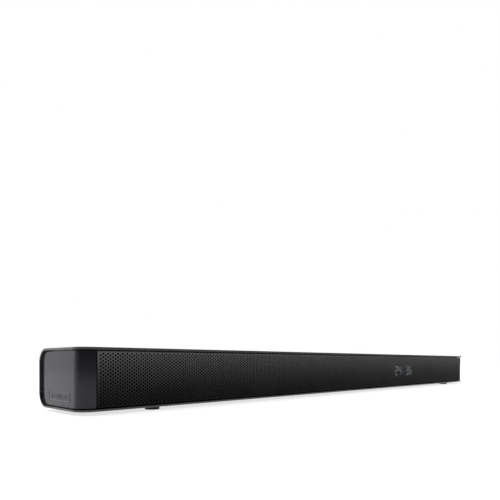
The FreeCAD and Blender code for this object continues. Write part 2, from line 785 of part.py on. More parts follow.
# a thin ring with two grooves, from the coil to the basket's rear plate
def coneSpider(label, x):
    body = newBody(label)
    face = sketchAt(body, "XZ_Plane", x, behind("basketDepth"), middle)
    circle(face, "spiderRadius", "Out")
    circle(face, "coilRadius", "In")
    pad(body, face, "spiderWall")
    for share in (0.233, 0.533):
        inner = f"(coilRadius + {share}*(spiderRadius - coilRadius))"
        groove = sketchAt(body, "XZ_Plane", x, behind("basketDepth - spiderWall"), middle)
        circle(groove, f"{inner} + spiderGroove", "Out")
        circle(groove, inner, "In")
        pocket(body, groove, "spiderGrooveDeep")


def drivers():
    spots = [(side, step) for side in (-1, 1) for step in ((0, 1) if side < 0 else (1, 0))]
    for number, (side, step) in enumerate(spots, start=1):
        x = f"{side}*(barLength/2 - driverFromEnd - {step}*driverPitch)"
        driverFrame(f"driver_frame_{number}", x)
        driverMotor(f"driver_motor_{number}", x)
        coneDish(f"cone_{number}", x)
        voiceCoil(f"voice_coil_{number}", x)
        coneSurround(f"surround_{number}", x)
        coneSpider(f"spider_{number}", x)


# ---- display ----

def displayWindow():
    body = newBody("display_window")
    face = sketchAt(body, "XZ_Plane", "displayCentre", baffleBack, middle)
    rectangle(face, "windowWide", "windowTall")
    pad(body, face, "baffleWall")


# seven strokes for each digit and two dots between the pairs
def displayDigits():
    parts = []
    half = "(digitTall/2 - strokeWide/2)"
    for column in (-2, -1, 1, 2):
        x = f"(displayCentre + {column}*digitPitch)"
        for row in (-1, 0, 1):
            parts.append(block((f"{x} - digitWide/2 + strokeWide", baffleBack,
                                f"{middle} + {row}*{half} - strokeWide/2"),
                               ("digitWide - 2*strokeWide", "ledWall", "strokeWide")))
        for side in (-1, 1):
            for row in (-1, 1):
                left = f"{x} + {side}*(digitWide/2 - strokeWide/2) - strokeWide/2"
                parts.append(block((left, baffleBack,
                                    f"{middle} + {row}*{half}/2 - {half}/2 + strokeWide/2"),
                                   ("strokeWide", "ledWall", f"{half} - strokeWide")))
    for row in (-1, 1):
        low = f"{middle} + {row}*colonHalf - strokeWide/2"
        parts.append(block(("displayCentre - strokeWide/2", baffleBack, low),
                           ("strokeWide", "ledWall", "strokeWide")))
    group("display_digits", parts)


def displayBoard():
    left = f"({receiverPlace} - receiverRadius*2)"
    right = "(displayCentre + windowWide/2 + windowLap)"
    body = newBody("display_board")
    face = sketchAt(body, "XZ_Plane", f"({left} + {right})/2", f"{baffleBack} + ledWall", middle)
    rectangle(face, f"{right} - {left}", "windowTall + 2*windowLap")
    pad(body, face, "boardWall", flip=True)


def remoteReceiver():
    body = newBody("remote_receiver")
    face = sketchAt(body, "XZ_Plane", receiverPlace, f"{baffleBack} + ledWall", middle)
    circle(face, "receiverRadius")
    stem = pad(body, face, "baffleWall + ledWall + 1.5")
    ahead = stem.Shape.BoundBox.YMin
    edges = [f"Edge{index}" for index, edge in enumerate(stem.Shape.Edges, start=1)
             if edge.BoundBox.YMax < ahead + 0.01]
    roundEdges(body, stem, edges, "receiverRadius*0.5")


# ---- electronics ----

def circuitBoard(label, centre, wide):
    body = newBody(label)
    plan = sketchAt(body, "XY_Plane", centre, f"{boardRear} - boardDepth/2", f"{boardTop} - boardWall")
    rectangle(plan, wide, "boardDepth")
    pad(body, plan, "boardWall")
    for x, y in boardHoles(centre, wide):
        hole = sketchAt(body, "XY_Plane", x, y, boardTop)
        circle(hole, "screwRadius")
        pocket(body, hole)


def innerScrews():
    parts = []
    for centre, wide in (("powerCentre", "powerWide"), ("mainCentre", "mainWide")):
        for x, y in boardHoles(centre, wide):
            shank = rod((x, y, f"{boardTop} - boardScrewLength"), "Z", "screwRadius",
                        "boardScrewLength")
            head = rod((x, y, boardTop), "Z", "headRadius", "headTall")
            parts.append(fused([shank, head]))
    for side in (-1, 1):
        for step in (0, 1):
            x = f"{side}*(barLength/2 - driverFromEnd - {step}*driverPitch)"
            for offX, offZ in driverScrewSpots():
                spot = (f"{x} + {offX}", behind("flangeWall"), f"{middle} + {offZ}")
                shank = rod(spot, "-Y", "screwRadius", "flangeWall + baffleHoleDeep")
                head = rod(spot, "Y", "headRadius", "headTall")
                parts.append(fused([shank, head]))
    group("inner_screws", parts)


def powerParts():
    coil = newBody("transformer")
    plan = sketchAt(coil, "XY_Plane", "powerCentre - powerWide/4 - 4",
                    f"{boardRear} - boardDepth/2", boardTop)
    rectangle(plan, "coreWide", "coreDeep")
    core = pad(coil, plan, "coreTall")
    roundEdges(coil, core, edgesAlong(core, "Z", lambda spot: True), "coreRound")
    # how far each can stands right of the board's middle and from its back, and its radius
    spots = [("0", "36", "8"), ("20", "36", "8"), ("40", "30", "6")]
    group("capacitors", [rod((f"powerCentre + {x}", f"{boardRear} - {y}", boardTop), "Z", radius, "canTall")
                         for x, y, radius in spots])


# a block with slots cut between its fins
def heatsink():
    slots = 9
    body = newBody("heatsink")
    x = "mainCentre + mainWide/4 + 8"
    plan = sketchAt(body, "XY_Plane", x, f"{boardRear} - 38", boardTop)
    rectangle(plan, "sinkWide", "sinkDeep")
    pad(body, plan, "sinkTall")
    slot = sketchAt(body, "XZ_Plane", f"{x} - finPitch*{slots - 1}/2", f"{boardRear} - 38",
                    f"{boardTop} + (sinkBase + sinkTall + 1)/2")
    rectangle(slot, "finSlot", "sinkTall + 1 - sinkBase")
    first = pocket(body, slot)
    row = body.newObject("PartDesign::LinearPattern", "row")
    row.Originals = [first]
    axis = next(item for item in body.Origin.OriginFeatures if item.Role == "X_Axis")
    row.Direction = (axis, [""])
    row.Occurrences = slots
    tie(row, "Length", f"finPitch*{slots - 1}")
    body.Tip = row
    doc.recompute([row, body])


# x centre, width, height, mouth width, mouth height and tongue height of each socket on the main board
sockets = {
    "hdmi_sockets": [("-80", "16", "7", "14", "4.6", "1"), ("-54", "16", "7", "14", "4.6", "1")],
    "optical_socket": [("-28", "10", "10", "6", "6", None)],
    "usb_socket": [("-6", "14", "7", "12", "4.6", "1.8")],
}


def socketSolid(x, wide, tall, mouthWide, mouthTall, tongue):
    left = f"mainCentre + {x}"
    shell = block((f"{left} - {wide}/2", f"{panelFace} - socketDeep", boardTop), (wide, "socketDeep", tall))
    mouth = block((f"{left} - {mouthWide}/2", f"{panelFace} - socketDeep + socketBack",
                   f"{boardTop} + ({tall} - {mouthTall})/2"), (mouthWide, "socketDeep", mouthTall))
    solid = without(shell, mouth)
    if tongue is None:
        return solid
    bladeSize = (f"{mouthWide}*0.8", "socketDeep - socketBack - tongueShort", tongue)
    blade = block((f"{left} - {mouthWide}*0.4", f"{panelFace} - socketDeep + socketBack",
                   f"{boardTop} + ({tall} - {tongue})/2"), bladeSize)
    return fused([solid, blade])


def signalSockets():
    for label, rows in sockets.items():
        solids = [socketSolid(*row) for row in rows]
        if len(solids) > 1:
            group(label, solids)
        else:
            finishPiece(solids[0], label)


jackPlace = "(mainCentre + 16)"
jackLevel = f"({boardTop} + jackTall/2)"
inletPlace = "(powerCentre + powerWide/4 - 8)"
inletLevel = f"({boardTop} + inletTall/2)"


def jackSocket():
    body = newBody("audio_jack")
    face = f"{panelFace} - panelWall - collarGap"
    plan = sketchAt(body, "XY_Plane", jackPlace, f"{face} - jackDeep/2", boardTop)
    rectangle(plan, "jackWide", "jackDeep")
    pad(body, plan, "jackTall")
    collar = sketchAt(body, "XZ_Plane", jackPlace, face, jackLevel)
    circle(collar, "collarRadius")
    pad(body, collar, "panelWall + collarProud", flip=True)
    bore = sketchAt(body, "XZ_Plane", jackPlace, f"{face} + panelWall + collarProud", jackLevel)
    circle(bore, "jackRadius")
    pocket(body, bore, "jackBoreDeep", flip=True)


# the mains inlet: a figure-of-eight mouth with two pins
def mainsInlet():
    body = newBody("mains_inlet")
    plan = sketchAt(body, "XY_Plane", inletPlace, f"{panelFace} - socketDeep/2", boardTop)
    rectangle(plan, "inletWide", "socketDeep")
    pad(body, plan, "inletTall")
    mouth = sketchAt(body, "XZ_Plane", inletPlace, panelFace, inletLevel)
    racetrack(mouth, "inletMouthWide", "inletMouthTall")
    pocket(body, mouth, "socketDeep - socketBack", flip=True)
    for side in (-1, 1):
        pin = sketchAt(body, "XZ_Plane", f"{inletPlace} + {side}*pinSpread",
                       f"{panelFace} - socketDeep + socketBack", inletLevel)
        circle(pin, "pinRadius")
        pad(body, pin, "socketDeep - socketBack - pinShort", flip=True)


# the recessed tub between the rear panel's two plates, with a hole for each socket
def socketPanel():
    body = newBody("socket_panel")
    outer = sketchAt(body, "XZ_Plane", "recessCentre", rear, recessMiddle)
    rectangle(outer, "recessWide + 2*panelWall", f"{upperSeam} - {lowerSeam}")
    pad(body, outer, "recessDepth + panelWall")
    hollow = sketchAt(body, "XZ_Plane", "recessCentre", rear, recessMiddle)
    rectangle(hollow, "recessWide", "recessTall")
    pocket(body, hollow, "recessDepth", flip=True)
    holes = [(f"mainCentre + {row[0]}", f"{row[1]} + 2*socketGap", f"{row[2]} + 2*socketGap",
              f"{boardTop} + {row[2]}/2") for rows in sockets.values() for row in rows]
    holes.append((inletPlace, "inletWide + 2*socketGap", "inletTall + 2*socketGap", inletLevel))
    for x, wide, tall, level in holes:
        hole = sketchAt(body, "XZ_Plane", x, panelFace, level)
        rectangle(hole, wide, tall)
        pocket(body, hole, "panelWall*2", flip=True)
    jackHole = sketchAt(body, "XZ_Plane", jackPlace, panelFace, jackLevel)
    circle(jackHole, "collarRadius + fitGap")
    pocket(body, jackHole, "panelWall*2", flip=True)


def wirelessModule():
    body = newBody("wireless_module")
    plan = sketchAt(body, "XY_Plane", "mainCentre - mainWide/4", f"{boardRear} - 44", boardTop)
    rectangle(plan, "shieldWide", "shieldDeep")
    can = pad(body, plan, "shieldTall")
    roundEdges(body, can, edgesAlong(can, "Z", lambda spot: True), "shieldRound")


# ---- keys ----

keyNames = ["power_key", "source_key", "volume_down_key", "volume_up_key"]


def pressKey(label, x):
    body = newBody(label)
    plan = sketchAt(body, "XY_Plane", x, keyLine, f"{roof} - fitGap")
    rectangle(plan, "keyWide", "keyDeep")
    cap = pad(body, plan, "topWall + fitGap")
    cap = roundEdges(body, cap, edgesAlong(cap, "Z", lambda spot: True), "keyRound")
    flange = sketchAt(body, "XY_Plane", x, keyLine, f"{roof} - fitGap")
    rectangle(flange, "keyWide + keyLap", "keyDeep + keyLap")
    pad(body, flange, "keyFlange", flip=True)
    stem = sketchAt(body, "XY_Plane", x, keyLine, f"{roof} - fitGap - keyFlange")
    circle(stem, "stemRadius")
    pad(body, stem, "stemLength", flip=True)


def keys():
    for label, x in zip(keyNames, keyPlaces):
        pressKey(label, x)
    switches = []
    for x in keyPlaces:
        case = block((f"{x} - switchWide/2", f"{keyLine} - switchWide/2", keyBoardTop),
                     ("switchWide", "switchWide", "switchTall"))
        plunger = rod((x, keyLine, f"{keyBoardTop} + switchTall"), "Z", "plungerRadius", "plungerTall")
        switches.append(fused([case, plunger]))
    group("key_switches", switches)
    board = newBody("key_board")
    plan = sketchAt(board, "XY_Plane", "0", keyLine, f"{keyBoardTop} - boardWall")
    rectangle(plan, f"2*{hangerPlace} + 2*bossRadius", "keyBoardDeep")
    pad(board, plan, "boardWall")


# ---- feet and wall fixings ----

def foot(label, side, y):
    body = newBody(label)
    x = f"{side}*(barLength/2 - footFromEnd)"
    disc = sketchAt(body, "XY_Plane", x, y, "0")
    circle(disc, "footRadius")
    puck = pad(body, disc, "footHeight")
    edges = [f"Edge{index}" for index, edge in enumerate(puck.Shape.Edges, start=1)
             if edge.BoundBox.ZMax < 0.01]
    roundEdges(body, puck, edges, "footRound")
    peg = sketchAt(body, "XY_Plane", x, y, "footHeight")
    circle(peg, "pegRadius")
    pad(body, peg, "pegLength")


def feet():
    for depthName, y in (("front", f"{front} + footFromFront"), ("rear", f"{rear} - footFromBack")):
        for sideName, side in (("left", -1), ("right", 1)):
            foot(f"foot_{depthName}_{sideName}", side, y)


def wallNuts():
    nuts = []
    for side in (-1, 1):
        spot = (f"{side}*nutFromMiddle", f"{rear} - nutLength", middle)
        barrel = rod(spot, "Y", "nutRadius", "nutLength")
        nuts.append(without(barrel, rod(spot, "Y", "nutBore", "nutLength")))
    group("wall_nuts", nuts)


topCasing()
bottomCasing()
rearPanel()
casingScrews()
endCap("left_end_cap", -1)
endCap("right_end_cap", 1)
frontGrille()
frontBaffle()
drivers()
displayWindow()
displayDigits()
displayBoard()
remoteReceiver()
circuitBoard("power_board", "powerCentre", "powerWide")
circuitBoard("main_board", "mainCentre", "mainWide")
innerScrews()
powerParts()
heatsink()
signalSockets()
jackSocket()
mainsInlet()
socketPanel()
wirelessModule()
keys()
feet()
wallNuts()
doc.recompute()

for thing in doc.Objects:
    if "Invalid" in thing.State or "Error" in thing.State:
        raise RuntimeError(f"{thing.Label} ({thing.Name}) failed: {thing.State}")
for piece in pieces:
    if piece.Shape.isNull() or not piece.Shape.isValid() or not piece.Shape.Solids:
        raise RuntimeError(f"{piece.Label} has no valid solid")

os.makedirs("parts", exist_ok=True)
for piece in pieces:
    piece.Shape.exportStep(f"parts/{piece.Label}.step")
print(len(pieces), "pieces written")
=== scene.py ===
import bpy
import math
import numpy as np
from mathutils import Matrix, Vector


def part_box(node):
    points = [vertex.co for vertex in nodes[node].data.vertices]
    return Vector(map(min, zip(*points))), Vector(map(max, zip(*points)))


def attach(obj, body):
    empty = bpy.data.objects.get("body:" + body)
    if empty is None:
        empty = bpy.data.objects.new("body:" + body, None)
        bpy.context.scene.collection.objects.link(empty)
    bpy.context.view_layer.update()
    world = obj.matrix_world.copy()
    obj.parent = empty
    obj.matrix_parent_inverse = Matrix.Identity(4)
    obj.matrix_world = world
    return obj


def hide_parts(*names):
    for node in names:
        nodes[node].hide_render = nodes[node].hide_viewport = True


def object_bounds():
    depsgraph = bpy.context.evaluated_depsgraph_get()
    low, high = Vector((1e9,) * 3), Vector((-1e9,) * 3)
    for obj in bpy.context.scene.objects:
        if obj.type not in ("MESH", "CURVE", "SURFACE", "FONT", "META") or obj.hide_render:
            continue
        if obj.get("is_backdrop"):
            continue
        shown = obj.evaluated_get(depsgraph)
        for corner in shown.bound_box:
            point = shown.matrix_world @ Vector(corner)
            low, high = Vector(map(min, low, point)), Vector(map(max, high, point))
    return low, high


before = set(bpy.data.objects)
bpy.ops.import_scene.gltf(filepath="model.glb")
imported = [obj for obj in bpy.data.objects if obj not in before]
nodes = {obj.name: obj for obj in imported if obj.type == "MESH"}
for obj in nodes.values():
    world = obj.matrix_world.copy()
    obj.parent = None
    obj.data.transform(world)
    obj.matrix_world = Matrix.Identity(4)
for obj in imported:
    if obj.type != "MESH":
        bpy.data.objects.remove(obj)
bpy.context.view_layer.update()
print("frame loaded:", len(nodes), "pieces")


view = {
    "place": (-0.6824, -0.4540, 0.0509),
    "turn": -45.827,  # degrees about the vertical, from looking along +Y
    "lens": 32.85,
    "sensorWide": 36,
    "rise": 0.2243,
    "nearest": 0.01,
}

cameraData = bpy.data.cameras.new("camera")
cameraData.lens = view["lens"]
cameraData.sensor_width = view["sensorWide"]
cameraData.shift_y = view["rise"]
cameraData.clip_start = view["nearest"]
camera = bpy.data.objects.new("camera", cameraData)
camera.location = view["place"]
camera.rotation_euler = (math.pi / 2, 0, math.radians(view["turn"]))
bpy.context.scene.collection.objects.link(camera)
bpy.context.scene.camera = camera
bpy.context.scene.view_settings.view_transform = "Standard"

# each soft light: place, the point it faces, width, height and power
lights = {
    "rearSoftbox": ((-1.5, 1.9, 1.1), (-0.49, 0.0, 0.03), 1.6, 1.4, 12),
}
studio = {
    "sunStrength": 1.6,
    "sunAngle": 70,  # degrees across, so that its shadows are soft
    "frontSky": 0.10,
    "rearSky": 1.0,
    "skyReach": 0.75,  # how far back the sky has to lean to be at its brightest, from 0 to 1
    "backdropStrength": 1.0,
    "floorColour": (0.55, 0.55, 0.55),
    "floorGlow": 0.7,
    "floorSide": 40,
}


# the turn that faces a light from its place towards a point
def aimed(place, target):
    direction = np.array(target) - np.array(place)
    level = math.hypot(direction[0], direction[1])
    return (math.atan2(level, -direction[2]), 0, math.atan2(-direction[0], direction[1]))


for name, (place, target, wide, tall, power) in lights.items():
    lightData = bpy.data.lights.new(name, "AREA")
    lightData.shape = "RECTANGLE"
    lightData.size = wide
    lightData.size_y = tall
    lightData.energy = power
    light = bpy.data.objects.new(name, lightData)
    light.location = place
    light.rotation_euler = aimed(place, target)
    light.visible_camera = False
    bpy.context.scene.collection.objects.link(light)

sunData = bpy.data.lights.new("overheadSun", "SUN")
sunData.energy = studio["sunStrength"]
sunData.angle = math.radians(studio["sunAngle"])
sun = bpy.data.objects.new("overheadSun", sunData)
bpy.context.scene.collection.objects.link(sun)
print("view and light set")


# a socket that can stand in a formula
class Wire:
    def __init__(self, finish, socket):
        self.finish = finish
        self.socket = socket

    def __add__(self, other):
        return self.finish.maths("ADD", self, other)

    def __sub__(self, other):
        return self.finish.maths("SUBTRACT", self, other)

    def __rsub__(self, other):
        return self.finish.maths("SUBTRACT", other, self)

    def __mul__(self, other):
        return self.finish.maths("MULTIPLY", self, other)

    __radd__ = __add__
    __rmul__ = __mul__


# a material with one principled shader, and the nodes that feed it
class Finish:
    def __init__(self, name, constants=None):
        self.material = bpy.data.materials.new(name)
        self.material.use_nodes = True
        self.tree = self.material.node_tree
        self.tree.nodes.clear()
        self.shader = self.tree.nodes.new("ShaderNodeBsdfPrincipled")
        output = self.tree.nodes.new("ShaderNodeOutputMaterial")
        self.tree.links.new(self.shader.outputs[0], output.inputs["Surface"])
        for key, value in (constants or {}).items():
            self.set(key, value)

    def set(self, key, value):
        self.feed(self.shader.inputs[key], value)

    def feed(self, socket, value):
        if isinstance(value, Wire):
            self.tree.links.new(value.socket, socket)
        elif socket.type == "RGBA":
            socket.default_value = (*value[:3], 1)
        else:
            socket.default_value = value

    # any node: its settings first, then its sockets, and one of its outputs back
    def node(self, kind, settings=None, inputs=None, output=0):
        made = self.tree.nodes.new(kind)
        for key, value in (settings or {}).items():
            if key == "stops":
                ramp = made.color_ramp.elements
                while len(ramp) < len(value):
                    ramp.new(0.5)
                for element, (position, grey) in zip(ramp, value):
                    element.position = position
                    element.color = (grey, grey, grey, 1)
            else:
                setattr(made, key, value)
        for key, value in (inputs or {}).items():
            self.feed(made.inputs[key], value)
        return Wire(self, made.outputs[output])

    def maths(self, operation, *values):
        return self.node("ShaderNodeMath", {"operation": operation}, dict(enumerate(values)))

    def mix(self, factor, first, second):
        return self.node("ShaderNodeMix", {"data_type": "RGBA"}, {0: factor, 6: first, 7: second}, 2)

    # the piece's own coordinates, stretched
    def coordinates(self, stretch=(1, 1, 1)):
        spot = self.node("ShaderNodeTexCoord", output=3)
        return self.node("ShaderNodeMapping", {}, {"Vector": spot, "Scale": stretch})

    # noise whose features are about so many metres across
    def noise(self, size, detail=2, stretch=(1, 1, 1)):
        return self.node("ShaderNodeTexNoise", {}, {"Vector": self.coordinates(stretch),
                                                    "Scale": 1 / size, "Detail": detail})

    # a value from 0 to 1 as another value goes from low to high
    def between(self, value, low, high):
        return self.node("ShaderNodeMapRange", {}, {0: value, 1: low, 2: high})

    def bump(self, height, depth):
        relief = self.node("ShaderNodeBump", {}, {"Height": height, "Distance": depth, "Strength": 1.0})
        self.set("Normal", relief)

    # how far along one of the piece's own axes
    def along(self, axis):
        spot = self.node("ShaderNodeTexCoord", output=3)
        return self.node("ShaderNodeSeparateXYZ", {}, {0: spot}, "XYZ".index(axis))


# moulded, painted, plated or cast: a mottled colour, an uneven gloss and a fine grain
def grained(name, look):
    finish = Finish(name, look.get("constants"))
    mottle = finish.noise(look["mottleSize"], 3)
    finish.set("Base Color", finish.mix(mottle, look["colour"], look["second"]))
    grain = finish.noise(look["grainSize"], 2, look.get("stretch", (1, 1, 1)))
    finish.set("Roughness", look["roughness"] + look["unevenness"] * (grain - 0.5))
    finish.bump(grain, look["grainDepth"])
    return finish


grainedLooks = {
    "black_casing": {
        "colour": (0.016, 0.016, 0.017), "second": (0.022, 0.022, 0.023), "mottleSize": 0.03,
        "roughness": 0.36, "unevenness": 0.10, "grainSize": 0.0007, "grainDepth": 0.00003,
        "constants": {"Specular IOR Level": 0.8},
    },
    "baffle_plastic": {
        "colour": (0.002, 0.002, 0.002), "second": (0.004, 0.004, 0.004), "mottleSize": 0.02,
        "roughness": 0.7, "unevenness": 0.1, "grainSize": 0.001, "grainDepth": 0.00003,
        "constants": {"Specular IOR Level": 0.2},
    },
    "socket_plastic": {
        "colour": (0.012, 0.012, 0.012), "second": (0.018, 0.018, 0.018), "mottleSize": 0.008,
        "roughness": 0.5, "unevenness": 0.15, "grainSize": 0.0006, "grainDepth": 0.00003,
    },
    "foot_rubber": {
        "colour": (0.008, 0.008, 0.008), "second": (0.014, 0.014, 0.013), "mottleSize": 0.004,
        "roughness": 0.8, "unevenness": 0.15, "grainSize": 0.0005, "grainDepth": 0.00006,
    },
    "key_plastic": {
        "colour": (0.020, 0.020, 0.021), "second": (0.026, 0.026, 0.027), "mottleSize": 0.006,
        "roughness": 0.36, "unevenness": 0.08, "grainSize": 0.0005, "grainDepth": 0.00002,
    },
    "surround_rubber": {
        "colour": (0.002, 0.002, 0.002), "second": (0.004, 0.004, 0.004), "mottleSize": 0.01,
        "roughness": 0.75, "unevenness": 0.1, "grainSize": 0.0006, "grainDepth": 0.00003,
        "constants": {"Specular IOR Level": 0.15},
    },
    "receiver_lens": {
        "colour": (0.020, 0.003, 0.004), "second": (0.028, 0.004, 0.005), "mottleSize": 0.004,
        "roughness": 0.08, "unevenness": 0.04, "grainSize": 0.002, "grainDepth": 0.000005,
    },
    "transformer_wrap": {
        "colour": (0.42, 0.30, 0.04), "second": (0.36, 0.25, 0.03), "mottleSize": 0.01,
        "roughness": 0.35, "unevenness": 0.15, "grainSize": 0.002, "grainDepth": 0.00005,
        "stretch": (0.1, 0.1, 1),
    },
    "capacitor_sleeve": {
        "colour": (0.015, 0.017, 0.045), "second": (0.02, 0.022, 0.06), "mottleSize": 0.008,
        "roughness": 0.28, "unevenness": 0.08, "grainSize": 0.001, "grainDepth": 0.00001,
    },
    "nut_brass": {
        "colour": (0.62, 0.42, 0.14), "second": (0.50, 0.33, 0.10), "mottleSize": 0.002,
        "roughness": 0.32, "unevenness": 0.2, "grainSize": 0.0004, "grainDepth": 0.00002,
        "constants": {"Metallic": 1.0},
    },
    "screw_steel": {
        "colour": (0.10, 0.10, 0.105), "second": (0.07, 0.07, 0.075), "mottleSize": 0.001,
        "roughness": 0.35, "unevenness": 0.15, "grainSize": 0.0003, "grainDepth": 0.00001,
        "constants": {"Metallic": 1.0},
    },
    "socket_metal": {
        "colour": (0.55, 0.55, 0.54), "second": (0.45, 0.45, 0.45), "mottleSize": 0.003,
        "roughness": 0.3, "unevenness": 0.15, "grainSize": 0.0004, "grainDepth": 0.00001,
        "constants": {"Metallic": 1.0}, "stretch": (0.15, 1, 1),
    },
    "heatsink_metal": {
        "colour": (0.45, 0.45, 0.46), "second": (0.35, 0.35, 0.36), "mottleSize": 0.004,
        "roughness": 0.4, "unevenness": 0.2, "grainSize": 0.0005, "grainDepth": 0.00001,
        "constants": {"Metallic": 1.0}, "stretch": (1, 0.1, 1),
    },
    "basket_steel": {
        "colour": (0.018, 0.018, 0.018), "second": (0.03, 0.03, 0.03), "mottleSize": 0.006,
        "roughness": 0.45, "unevenness": 0.15, "grainSize": 0.0008, "grainDepth": 0.00003,
    },
    "motor_metal": {
        "colour": (0.5, 0.5, 0.5), "second": (0.38, 0.38, 0.39), "mottleSize": 0.005,
        "roughness": 0.32, "unevenness": 0.15, "grainSize": 0.0006, "grainDepth": 0.00001,
        "constants": {"Metallic": 1.0},
    },
    "end_cap_plastic": {
        "colour": (0.0080, 0.0076, 0.0116), "second": (0.0108, 0.0104, 0.0150), "mottleSize": 0.02,
        "roughness": 0.22, "unevenness": 0.05, "grainSize": 0.0006, "grainDepth": 0.00001,
        "constants": {"Specular IOR Level": 0.34, "Specular Tint": (0.90, 0.88, 1.0)},
    },
    "key_ink": {
        "colour": (0.42, 0.42, 0.43), "second": (0.50, 0.50, 0.51), "mottleSize": 0.001,
        "roughness": 0.5, "unevenness": 0.1, "grainSize": 0.0003, "grainDepth": 0.000003,
    },
}
finishes = {name: grained(name, look) for name, look in grainedLooks.items()}


grilleLook = {
    # the painted shade at the bottom of the grille and the painted light at its top
    "paintedShadeColour": (0.0122, 0.0122, 0.0126),
    "paintedLightColour": (0.124, 0.124, 0.126),
    "cloudSize": 0.05,
    "cloudShare": 0.12,
    "roughness": 0.42,
    "unevenness": 0.15,
    "peelSize": 0.0012,
    "peelDepth": 0.00002,
}


# powder paint on steel, with painted light: the colour pales towards the top and darkens towards the
# bottom, standing in for the light from above
def grilleFinish():
    finish = Finish("grille_metal", {"Specular IOR Level": 0.05})
    low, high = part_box("front_grille")
    height = finish.between(finish.along("Z"), low.z, high.z)
    cloud = finish.noise(grilleLook["cloudSize"], 2)
    # painted shade and light: dark at the bottom and pale at the top, by the square of the height, with a
    # random cloud of tone added
    paintedShading = height * height + grilleLook["cloudShare"] * (cloud - 0.5)
    finish.set("Base Color", finish.mix(paintedShading, grilleLook["paintedShadeColour"], grilleLook["paintedLightColour"]))
    peel = finish.noise(grilleLook["peelSize"])
    finish.set("Roughness", grilleLook["roughness"] + grilleLook["unevenness"] * (peel - 0.5))
    finish.bump(peel, grilleLook["peelDepth"])
    return finish


finishes["grille_metal"] = grilleFinish()

windowLook = {
    "colour": (0.004, 0.004, 0.005), "second": (0.008, 0.008, 0.009), "hazeSize": 0.02,
    "roughness": 0.08, "unevenness": 0.06, "alpha": 0.35,
}


# smoked acrylic that the digits shine through
def smokedFinish():
    finish = Finish("smoked_window", {"Specular IOR Level": 0.3, "Alpha": windowLook["alpha"]})
    haze = finish.noise(windowLook["hazeSize"], 2)
    finish.set("Base Color", finish.mix(haze, windowLook["colour"], windowLook["second"]))
    finish.set("Roughness", windowLook["roughness"] + windowLook["unevenness"] * haze)
    return finish


finishes["smoked_window"] = smokedFinish()

digitLook = {
    "dark": (0.03, 0.03, 0.032), "darkSecond": (0.05, 0.05, 0.052),
    "lit": (0.85, 0.93, 1.0), "litSecond": (0.72, 0.83, 0.95),
    "hazeSize": 0.004, "strength": 1.2,
}


# a diffusing film, lit a little unevenly from behind when it has a strength
def lightFinish(name, strength):
    finish = Finish(name, {"Roughness": 0.4})
    haze = finish.noise(digitLook["hazeSize"], 2)
    finish.set("Base Color", finish.mix(haze, digitLook["dark"], digitLook["darkSecond"]))
    if strength:
        finish.set("Emission Color", finish.mix(haze, digitLook["lit"], digitLook["litSecond"]))
        finish.set("Emission Strength", strength)
    return finish


finishes["display_light"] = lightFinish("display_light", digitLook["strength"])
finishes["display_off"] = lightFinish("display_off", 0)

boardLook = {
    "colour": (0.012, 0.09, 0.04), "second": (0.006, 0.05, 0.024),
    "patchesPerMetre": 160, "scatter": 0.7, "patchEdge": (0.28, 0.34), "patchDepth": 0.00004,
}


# green solder mask, paler in small patches scattered over it
def boardFinish():
    finish = Finish("circuit_board", {"Roughness": 0.35})
    inner, outer = boardLook["patchEdge"]
    spread = finish.node("ShaderNodeTexVoronoi", {"distance": "MANHATTAN", "feature": "F1"},
                         {"Vector": finish.coordinates(), "Scale": boardLook["patchesPerMetre"],
                          "Randomness": boardLook["scatter"]})
    ground = finish.node("ShaderNodeValToRGB", {"stops": [(inner, 0.0), (outer, 1.0)]}, {0: spread})
    finish.set("Base Color", finish.mix(ground, boardLook["colour"], boardLook["second"]))
    finish.bump(ground, boardLook["patchDepth"])
    return finish


finishes["circuit_board"] = boardFinish()

paperLook = {
    "colour": (0.002, 0.002, 0.002), "second": (0.005, 0.005, 0.005),
    "fibreSize": 0.0015, "fibreRatio": 4, "fibreDepth": 0.00015,
}


# pressed paper pulp: short fibres two ways, laid over each other
def paperFinish():
    finish = Finish("cone_paper", {"Roughness": 0.85, "Specular IOR Level": 0.2})
    size, ratio = paperLook["fibreSize"], paperLook["fibreRatio"]
    level = finish.noise(size, 5, (1, 1, ratio))
    upright = finish.noise(size, 5, (ratio, 1, 1))
    fibres = level * 0.5 + upright * 0.5
    finish.set("Base Color", finish.mix(fibres, paperLook["colour"], paperLook["second"]))
    finish.bump(fibres, paperLook["fibreDepth"])
    return finish


finishes["cone_paper"] = paperFinish()

coilLook = {
    "colour": (0.50, 0.20, 0.07), "second": (0.34, 0.12, 0.04), "pitch": 0.0002, "wireDepth": 0.00003,
}


# enamelled wire: turns a pitch apart along the coil's axis
def coilFinish():
    finish = Finish("coil_copper", {"Metallic": 0.9, "Roughness": 0.3})
    turns = finish.maths("SINE", finish.along("Y") * (2 * math.pi / coilLook["pitch"]))
    finish.set("Base Color", finish.mix(0.5 + 0.5 * turns, coilLook["colour"], coilLook["second"]))
    finish.bump(turns, coilLook["wireDepth"])
    return finish


finishes["coil_copper"] = coilFinish()

clothLook = {
    "colour": (0.30, 0.19, 0.06), "second": (0.46, 0.30, 0.11), "pitch": 0.0007, "threadDepth": 0.00012,
}


# open weave stiffened with resin: threads that repeat at a pitch both ways
def weaveFinish():
    finish = Finish("spider_cloth", {"Roughness": 0.8})
    turns = 2 * math.pi / clothLook["pitch"]
    across = finish.maths("SINE", finish.along("X") * turns)
    upright = finish.maths("SINE", finish.along("Z") * turns)
    weave = 0.5 + 0.5 * (across * upright)
    finish.set("Base Color", finish.mix(weave, clothLook["colour"], clothLook["second"]))
    finish.bump(weave, clothLook["threadDepth"])
    return finish


finishes["spider_cloth"] = weaveFinish()

# every CAD node takes the finish of its own slot
for node in nodes.values():
    for place in node.material_slots:
        place.material = finishes[place.material.name].material
print("finishes made:", len(finishes))


